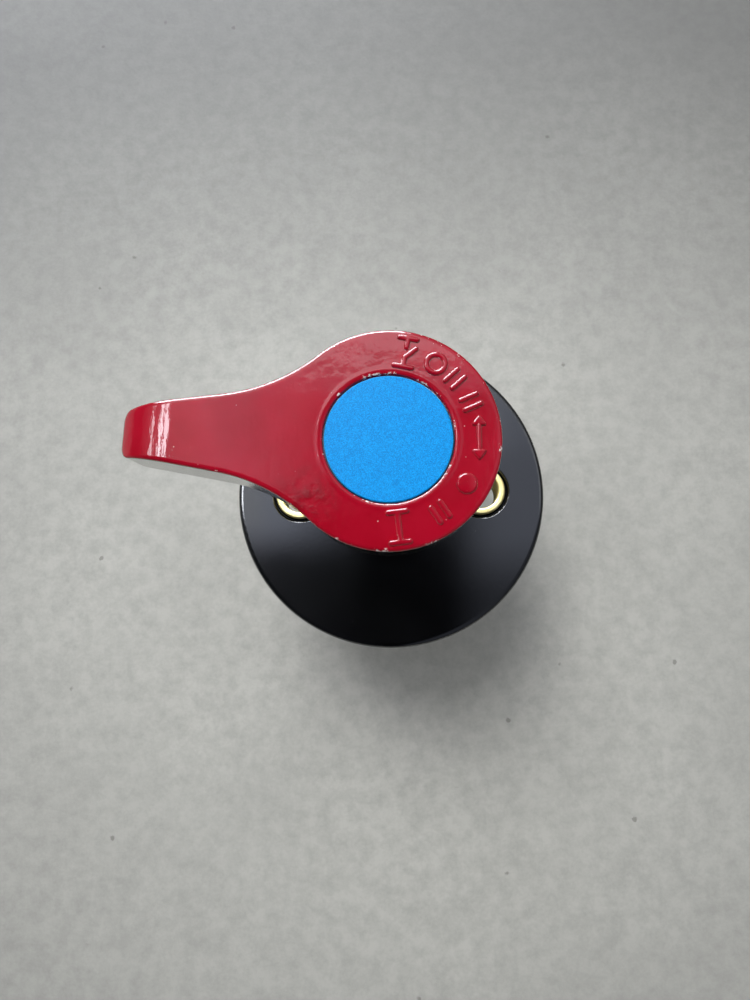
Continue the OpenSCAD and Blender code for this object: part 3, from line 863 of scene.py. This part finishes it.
def barrel_plan(inset):
    """Rear body's plan: a circle with an open hollow round each panel bolt."""
    r, hollow = BARREL_R - inset, SCALLOP_R + inset
    # the hollow's straight sides meet the circle at this angle
    meet = math.degrees(math.asin(hollow / r))
    left = arc(-BOLT_X, 0, hollow, 90, -90, 24)
    right = arc(BOLT_X, 0, hollow, -90, -270, 24)
    return (arc(0, 0, r, meet, 180 - meet, 59) + left
            + arc(0, 0, r, 180 + meet, 360 - meet, 59) + right)


def housing_envelope():
    """The housing's outer shape: turned flange and neck over the barrel."""
    back, wall = -FLANGE_T + 2 * EPS, FLANGE_R - 2 * EPS
    profile = rounded([(0, back, 0), (wall, back, 0.5), (wall, -EPS, FLANGE_EDGE),
                       (NECK_R + 2 * EPS, -EPS, 0.0), (NECK_R - 2 * EPS, NECK_TOP - EPS, 0.7),
                       (0, NECK_TOP - EPS, 0)], 7)
    body = lathe("housing_skin", profile, 256)
    barrel = prism("barrel", lambda inset: barrel_plan(inset + 2 * EPS),
                   BARREL_BACK + EPS, -FLANGE_T + 1, 0.4, 0.0, 5)
    return combine(body, barrel, "UNION")


def seat_cutter(side):
    """Smooth seat for one bush, with a worn chamfer round it."""
    bore_r, floor_z = BUSH_TUBE_R + 0.04, -BUSH_RIM_T - 0.02
    foot, above = -FLANGE_T - 1, 0.5
    profile = rounded([(0, foot, 0), (bore_r, foot, 0), (bore_r, floor_z, 0), (SEAT_R, floor_z, 0),
                       (SEAT_R, -0.35, 0.5), (7.4, above, 0), (0, above, 0)])
    return lathe("seat", profile, 96, (side * BOLT_X, 0))


def build_housing():
    """The housing: the CAD's inside, rounded edges outside, and a seat for each bush."""
    housing = combine(housing_envelope(), cad_copy("housing", "cad_housing"), "INTERSECT")
    for side in (-1, 1):
        cut(housing, seat_cutter(side))
    dress(shade(housing, 40), "base", FINISH["housing_moulding"], "housing_moulding", "housing")


def build_bushes():
    """Rolled brass bushes: a rounded rim over a thin tube."""
    bore, tube, rim = BUSH_BORE_R, BUSH_TUBE_R, BUSH_RIM_R
    profile = rounded([(bore, BUSH_LO.z, 0.2), (tube, BUSH_LO.z, 0.2), (tube, -BUSH_RIM_T, 0.05),
                       (rim, -BUSH_RIM_T, 0.3), (rim, 0, 0.5), (bore, 0, 0.42)], 8)
    parts = [lathe("bush", profile, 96, (side * BOLT_X, 0)) for side in (-1, 1)]
    bushes = shade(join("bush_rims", parts), 50)
    dress(bushes, "base", FINISH["brass_parts"], "brass_parts", "mounting_bushes")


# ---------- rear ----------

def build_cover():
    """The rear cover: plate, rib and the raised inside, kept within the CAD."""
    plate = prism("cover_skin", lambda inset: barrel_plan(inset + 3 * EPS),
                  COVER_BACK + EPS, GASKET_LO.z - EPS, 0.9, 0.1, 6)
    rib = prism("rib", rect_outline(*COVER_RIB, 0.7), COVER_LO.z + EPS, COVER_BACK + 1, 0.7, 0.0)
    inner = prism("inner", rect_outline(*COVER_INSIDE, 0.5), GASKET_LO.z - 1, COVER_HI.z - EPS)
    combine(plate, rib, "UNION")
    combine(plate, inner, "UNION")
    combine(plate, cad_copy("rear_cover", "cad_cover"), "INTERSECT")
    dress(shade(plate, 40), "base", FINISH["housing_moulding"], "housing_moulding", "rear_cover")


def thread_radius(phase, core, crest):
    """Radius of a V thread with a small flat crest and root, at a phase in turns."""
    flat = 0.12
    wave = 1 - abs(2 * (phase % 1) - 1)
    return core + (crest - core) * min(1, max(0, (wave - flat) / (1 - 2 * flat)))


def threaded_rod(name, y, z_top, z_end, crest=STUD_R - 0.02, pitch=1.5, segments=48, chamfer=1.0):
    """A rod with a helical thread and a chamfered lower end."""
    core = crest - 0.61 * pitch
    rows = int((z_top - z_end) / (pitch / 10))
    rings = []
    for i in range(rows + 1):
        z = z_top + (z_end - z_top) * i / rows
        limit = crest - chamfer + (z - z_end)
        ring = []
        for k in range(segments):
            a = 2 * math.pi * k / segments
            r = min(thread_radius(z / pitch - k / segments, core, crest), limit)
            ring.append((r * math.cos(a), y + r * math.sin(a), z))
        rings.append(ring)
    return loft(name, rings[::-1])


def stud(y):
    """One stud: threaded rod, plain shank through the cover and square head, as three bodies."""
    foot = COVER_BACK + 0.9
    shank = rounded([(0, foot, 0), (SHANK_R, foot, 0.1), (SHANK_R, SHANK_TOP, 0), (0, SHANK_TOP, 0)])
    head = rect_outline(*STUD_HEAD, 1.0, 0, y)
    return [threaded_rod("rod", y, COVER_BACK + 1.0, STUD_LO.z),
            lathe("shank", shank, 48, (0, y)),
            prism("head", head, STUD_HI.z - STUD_HEAD_T, STUD_HI.z, 0.3, 0.3)]


def build_studs():
    """The pair of terminal studs."""
    studs = shade(join("stud_threads", stud(-STUD_Y) + stud(STUD_Y)), 38)
    dress(studs, "base", FINISH["brass_parts"], "brass_parts", "terminal_studs")


def hex_nut(name, y, z0, z1, across=16.0):
    """A hexagon nut with turned chamfers and a countersunk bore."""
    corner = across / math.sqrt(3)
    plan = [(corner * math.cos(math.radians(a)), y + corner * math.sin(math.radians(a)))
            for a in range(0, 360, 60)]
    nut = loft(name, [[(px, py, z) for px, py in plan] for z in (z0, z1)])
    # the chamfer: a cone of 30 degrees from the turned face's edge
    face_r, wall_r, past = across / 2 * 0.96, corner + 0.01, 0.001
    drop = (corner - face_r) * math.tan(math.radians(30))
    turned = [(0, z0 - past), (face_r, z0 - past), (wall_r, z0 + drop),
              (wall_r, z1 - drop), (face_r, z1 + past), (0, z1 + past)]
    combine(nut, lathe("turned", turned, 96, (0, y)), "INTERSECT")
    mouth_r, sink_r, bore_r = 6.1, 5.3, 4.62
    bore = [(0, z0 - 1), (mouth_r, z0 - 1), (sink_r, z0 + 0.1), (bore_r, z0 + 0.8),
            (bore_r, z1 - 0.8), (sink_r, z1 - 0.1), (mouth_r, z1 + 1), (0, z1 + 1)]
    cut(nut, lathe("bore", bore, 64, (0, y)))
    return bevel(nut, 0.14, 2, 25)


def build_nuts():
    """One nut on each stud."""
    parts = [hex_nut("nut", side * STUD_Y, NUT_LO.z, NUT_HI.z) for side in (-1, 1)]
    nuts = shade(join("nut_pair", parts), 30)
    dress(nuts, "base", FINISH["brass_parts"], "brass_parts", "stud_nuts")


def build_washers():
    """One plain washer on each stud."""
    low, high, bore_r = WASHER_LO.z, WASHER_HI.z, WASHER_BORE_R
    profile = rounded([(bore_r, low, 0.2), (WASHER_R, low, 0.35), (WASHER_R, high, 0.2), (bore_r, high, 0.2)])
    parts = [lathe("washer", profile, 96, (0, side * STUD_Y)) for side in (-1, 1)]
    washers = shade(join("washer_pair", parts), 40)
    dress(washers, "base", FINISH["steel_parts"], "steel_parts", "stud_washers")


def split_washer(name, y, z0, z1, inner=5.2, outer=8.55, rise=0.5, segments=72):
    """A spring washer: a square bar wound almost one turn, its ends apart."""
    thick, corner, gap = z1 - z0 - rise, 0.25, 5
    section = rounded([(inner, 0, corner), (outer, 0, corner), (outer, thick, corner),
                       (inner, thick, corner)], 3)
    rows = []
    for k in range(segments + 1):
        a = math.radians(gap + (360 - 2 * gap) * k / segments)
        lift = z0 + rise * k / segments
        rows.append([(r * math.cos(a), y + r * math.sin(a), z + lift) for r, z in section])
    return loft(name, rows)


def build_split_washers():
    """One spring washer under each nut."""
    parts = [split_washer("split", side * STUD_Y, SPLIT_LO.z, SPLIT_HI.z) for side in (-1, 1)]
    washers = shade(join("split_washer_pair", parts), 35)
    dress(washers, "base", FINISH["spring_steel"], "spring_steel", "stud_spring_washers")


def cross_cutter(x, y, z0, depth, turn):
    """A cross recess that narrows with depth."""
    parts = []
    for angle in (turn, turn + 90):
        c, s = math.cos(math.radians(angle)), math.sin(math.radians(angle))
        rows = []
        for half_l, half_w, z in ((2.3, 0.55, z0 - 0.5), (2.2, 0.5, z0), (1.1, 0.3, z0 + depth)):
            corners = [(half_l, half_w), (-half_l, half_w), (-half_l, -half_w), (half_l, -half_w)]
            rows.append([(x + c * u - s * v, y + s * u + c * v, z) for u, v in corners])
        parts.append(loft("cross", rows))
    return combine(parts[0], parts[1], "UNION")


def cover_screw(x, y, turn):
    """A pan-head screw: domed head, cross recess and a plain shank."""
    crown_r, rim_r, shank_r = 2.9, SCREW_HEAD_R - 2 * EPS, 2 - 2 * EPS
    low, seat, high = SCREW_LO.z, SCREW_LO.z + 2.4, SCREW_HI.z
    profile = rounded([(0, low, 0), (crown_r, low, 0.8), (rim_r, seat - 0.9, 0.6), (rim_r, seat, 0.15),
                       (shank_r, seat, 0), (shank_r, high, 0), (0, high, 0)])
    screw = lathe("screw", profile, 64, (x, y))
    return cut(screw, cross_cutter(x, y, low, 1.4, turn))


def build_cover_screws():
    """Four screws through the cover, each driven home to its own angle."""
    turns = (12, 47, 80, 28)
    spots = [(sx * SCREW_X, sy * SCREW_Y) for sx in (-1, 1) for sy in (-1, 1)]
    parts = [cover_screw(x, y, turn) for (x, y), turn in zip(spots, turns)]
    screws = shade(join("cover_screw_set", parts), 35)
    dress(screws, "base", FINISH["steel_parts"], "steel_parts", "cover_screws")


def coil_height(t, turns, z0, z1, wire_d):
    """Height of the wire's centre after t turns: a closed turn at each end, open turns between."""
    closed = 1.05 * wire_d
    open_rise = (z1 - z0 - wire_d - 2 * closed) / (turns - 2)
    middle = min(max(t - 1, 0), turns - 2)
    ends = min(t, 1) + max(t - turns + 1, 0)
    return z0 + wire_d / 2 + closed * ends + open_rise * middle


def coil_spring(name, mean_r, wire_d, z0, z1, turns, per_turn=48, sides=14):
    """A coil spring of round wire."""
    rows = []
    for i in range(int(turns * per_turn) + 1):
        a = 2 * math.pi * i / per_turn
        z = coil_height(i / per_turn, turns, z0, z1, wire_d)
        section = arc(mean_r, z, wire_d / 2, 0, 360 - 360 / sides, sides - 1)
        rows.append([(r * math.cos(a), r * math.sin(a), h) for r, h in section])
    return loft(name, rows)


def build_return_spring():
    """The spring under the carriage."""
    lo, hi = box_mm("return_spring")
    mean_r, wire_d, turns = 6.6, 1.2, 4.5
    spring = shade(coil_spring("return_coil", mean_r, wire_d, lo.z, hi.z, turns), 50)
    dress(spring, "base", FINISH["spring_steel"], "spring_steel", "return_spring")
    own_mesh(spring)


# ---------- studio ----------

FLOOR_HALF = 3000
FLOOR_TOP = FLOOR_Z - 0.02
FLOOR_T = 19.98
# middle of the pool of light painted on the floor
LIT_POOL_MIDDLE = (0, -22, FLOOR_Z)


def floor_flecks(tree, p, colour):
    """Small dark flecks and longer, fainter scuffs with ragged outlines."""
    ragged = times(tree, noise(tree, p, 0.6, 4, 0.6), 0.09)
    kinds = ((0.045, 0.085, (1, 1, 1), 0.5), (0.016, 0.062, (1, 3.2, 1), 0.3))
    for scale, reach, stretch, share in kinds:
        near = plus(tree, cell_distance(tree, stretched(tree, p, stretch), scale), ragged)
        fleck = remap(tree, near, reach - 0.02, reach, 1.0, 0.0)
        colour = mix(tree, times(tree, fleck, share), colour, rgb(0.10, 0.095, 0.08))
    return colour


def floor_material():
    """Pale smooth concrete: mottled and flecked, with a painted pool of light round the object: painted shade
    darkens it away from the object and behind it.
    """
    mat, tree, shader = new_material("pale_floor")
    p = coords_mm(tree)
    wide = noise(tree, p, 0.018, 4)
    fine = noise(tree, p, 0.21, 6, 0.72)
    colour = mix(tree, remap(tree, wide, 0.35, 0.65), rgb(0.465, 0.467, 0.438), rgb(0.51, 0.512, 0.48))
    colour = mix(tree, remap(tree, fine, 0.38, 0.66, 0.0, 0.65), colour, rgb(0.35, 0.352, 0.33))
    # painted shade: the floor darkens away from the object, as the light falls off
    away = remap(tree, distance(tree, p, LIT_POOL_MIDDLE), 85, 235, 0.0, 0.6)
    colour = mix(tree, away, colour, rgb(0.13, 0.13, 0.125))
    colour = floor_flecks(tree, p, colour)
    # painted shade: the floor darkens behind the object
    behind = add(tree, "ShaderNodeSeparateXYZ", {0: p}).outputs["Y"]
    colour = mix(tree, remap(tree, behind, 50, 175, 0.0, 0.42), colour, rgb(0.02, 0.02, 0.02))
    wire(tree, shader, Base_Color=colour, Roughness=0.75, Specular_IOR_Level=0.15,
         Normal=bump(tree, fine, 0.15))
    return mat


def build_floor():
    """A wide slab just under the studs' ends."""
    corners = [(sx * FLOOR_HALF, sy * FLOOR_HALF) for sx, sy in ((1, 1), (-1, 1), (-1, -1), (1, -1))]
    floor = loft("floor", [[(x, y, z) for x, y in corners] for z in (FLOOR_TOP - FLOOR_T, FLOOR_TOP)])
    floor.data.materials.append(floor_material())


# the softbox, in metres and watts
KEY_PLACE = (-0.30, 0.60, 1.50)
KEY_SIZE = 0.55
KEY_WATTS = 17.4
# soft light for matt surfaces: where it is strongest, and its least and greatest level
AMBIENT_FROM = (-0.55, 0.70, 0.46)
AMBIENT_LOW = 0.03
AMBIENT_HIGH = 0.8
# what mirrors see of the world, low down and overhead
HORIZON_GLOW = 0.05
ZENITH_GLOW = 1.1
# heights of the cards, in millimetres
CEILING = 1350.0
SHADE_HEIGHT = 178.0

# bright cards: name, x0, x1, y0, y1 and height in millimetres, brightness
CARDS = (
    ("window", -900, 150, 470, 1400, CEILING, 3.0),
    ("tube_near", -700, -530, 180, 520, CEILING, 17.0),
    ("tube_far", -960, -780, 180, 520, CEILING, 19.0),
    ("tube_last", -1650, -1360, 180, 620, CEILING, 11.0),
)
# an upright card: name, x0, x1, z0, z1 and place along Y, brightness
WALL_LIGHT = ("wall_light", -1300, 200, 280, 1400, 1500, 34.0)
# the object's own near surroundings, between it and the ceiling: name, x0, x1, y0, y1
SHADES = (
    ("shade_front", -420, 420, -700, 15),
    ("shade_back", -62, 48, 15, 53),
    ("shade_right", 48, 110, 15, 85),
)
CARD_TINT = (0.93, 0.97, 1.04)
SHADE_TINT = (0.86, 0.93, 1.14)


def glow_material(name, level, tint):
    """Plain light of one colour; level is a number or a function of the tree."""
    mat = bpy.data.materials.new(name)
    mat.use_nodes = True
    tree = mat.node_tree
    tree.nodes.clear()
    strength = level(tree) if callable(level) else level
    glow = add(tree, "ShaderNodeEmission", {"Color": rgb(*tint), "Strength": strength})
    add(tree, "ShaderNodeOutputMaterial", {"Surface": glow.outputs[0]})
    return mat


def glow_card(name, u0, u1, v0, v1, place, level, upright=False, tint=CARD_TINT):
    """A card that only mirrors see, level at a height, or upright at a place along Y."""
    rows = []
    for d in (place, place + 1):
        corners = ((u0, v0), (u1, v0), (u1, v1), (u0, v1))
        rows.append([(u, d, v) if upright else (u, v, d) for u, v in corners])
    card = loft(name, rows)
    card.data.materials.append(glow_material(name + "_glow", level, tint))
    for flag in ("visible_camera", "visible_diffuse", "visible_shadow", "visible_transmission"):
        setattr(card, flag, False)


def shade_level(tree):
    """Brightness of the shades: dark in front, brighter to the left, right and back."""
    place = add(tree, "ShaderNodeSeparateXYZ", {0: coords_mm(tree)})
    x, y = place.outputs["X"], place.outputs["Y"]
    left = times(tree, remap(tree, x, -52, -14, ZENITH_GLOW, 0.1), remap(tree, y, 1, 15, 0.02, 1.0))
    right = times(tree, remap(tree, x, 28, 46, 0.01, 0.58), remap(tree, y, -16, 8, 0.25, 1.0))
    back = times(tree, remap(tree, y, 38, 52), remap(tree, x, 40, 60, ZENITH_GLOW, 0.7))
    return calc(tree, "MAXIMUM", calc(tree, "MAXIMUM", left, right), back)


def background(tree, colour, strength):
    """One background of the world."""
    inputs = {"Color": rgb(*colour), "Strength": strength}
    return add(tree, "ShaderNodeBackground", inputs).outputs[0]


def build_world():
    """Soft light from behind for matt surfaces, a dim-edged ceiling for glossy ones, a pale backdrop."""
    world = bpy.data.worlds.new("studio")
    SCENE.world = world
    world.use_nodes = True
    tree = world.node_tree
    tree.nodes.clear()
    way = add(tree, "ShaderNodeTexCoord").outputs["Generated"]
    height = add(tree, "ShaderNodeSeparateXYZ", {0: way}).outputs["Z"]
    glow = remap(tree, height, 0.3, 0.85, HORIZON_GLOW, ZENITH_GLOW)
    ceiling = background(tree, (0.92, 0.97, 1.06), glow)
    towards = add(tree, "ShaderNodeVectorMath", {0: way, 1: AMBIENT_FROM}, operation="DOT_PRODUCT")
    level = remap(tree, towards.outputs["Value"], -0.5, 0.9, AMBIENT_LOW, AMBIENT_HIGH)
    ambient = background(tree, (0.98, 0.99, 1.02), level)
    backdrop = background(tree, (0.56, 0.56, 0.55), 1.0)
    ray = add(tree, "ShaderNodeLightPath")
    lit = add(tree, "ShaderNodeMixShader", {0: ray.outputs["Is Glossy Ray"], 1: ambient, 2: ceiling})
    seen = add(tree, "ShaderNodeMixShader", {0: ray.outputs["Is Camera Ray"], 1: lit.outputs[0], 2: backdrop})
    add(tree, "ShaderNodeOutputWorld", {"Surface": seen.outputs[0]})


def build_light():
    """A softbox behind and to the left that mirrors don't see, and the cards that they see instead."""
    build_world()
    light = bpy.data.lights.new("softbox", "AREA")
    light.shape = "SQUARE"
    light.size = KEY_SIZE
    light.energy = KEY_WATTS
    light.color = (1.0, 0.99, 0.97)
    softbox = bpy.data.objects.new("softbox", light)
    softbox.location = KEY_PLACE
    softbox.rotation_euler = (-Vector(KEY_PLACE)).to_track_quat("-Z", "Y").to_euler()
    softbox.visible_glossy = False
    SCENE.collection.objects.link(softbox)
    for card in CARDS:
        glow_card(*card)
    glow_card(*WALL_LIGHT, upright=True)
    for name, x0, x1, y0, y1 in SHADES:
        glow_card(name, x0, x1, y0, y1, SHADE_HEIGHT, shade_level, tint=SHADE_TINT)


CAMERA_PLACE = (0.3, -29.9, 176.0)
CAMERA_LOOK = (-0.03, 0.157, -0.987)
CAMERA_ROLL = math.radians(1.34)
LENS = 27.3
# the picture's centre, in pixels of its longer side
SHIFT_PX = (6.1, 1.0)
LONGER_SIDE_PX = 1000


def build_camera():
    """The photograph's view: from above, a little in front."""
    data = bpy.data.cameras.new("camera")
    data.sensor_fit = "AUTO"
    data.sensor_width = 36.0
    data.lens = LENS
    data.shift_x = SHIFT_PX[0] / LONGER_SIDE_PX
    data.shift_y = SHIFT_PX[1] / LONGER_SIDE_PX
    data.clip_start = 0.01
    look = Vector(CAMERA_LOOK).normalized()
    level_right = (Vector((1, 0, 0)) - look * look.x).normalized()
    level_up = level_right.cross(look)
    right = level_right * math.cos(CAMERA_ROLL) - level_up * math.sin(CAMERA_ROLL)
    up = level_right * math.sin(CAMERA_ROLL) + level_up * math.cos(CAMERA_ROLL)
    turn = Matrix((right, up, -look)).transposed().to_4x4()
    camera = bpy.data.objects.new("camera", data)
    camera.matrix_world = Matrix.Translation(Vector(CAMERA_PLACE) * MM) @ turn
    SCENE.collection.objects.link(camera)
    SCENE.camera = camera


finish_cad_nodes()
build_housing()
build_bushes()
build_cover()
build_studs()
build_nuts()
build_washers()
build_split_washers()
build_cover_screws()
build_return_spring()
build_badge()
build_lever()
build_floor()
build_light()
build_camera()
SCENE.view_settings.view_transform = "Standard"
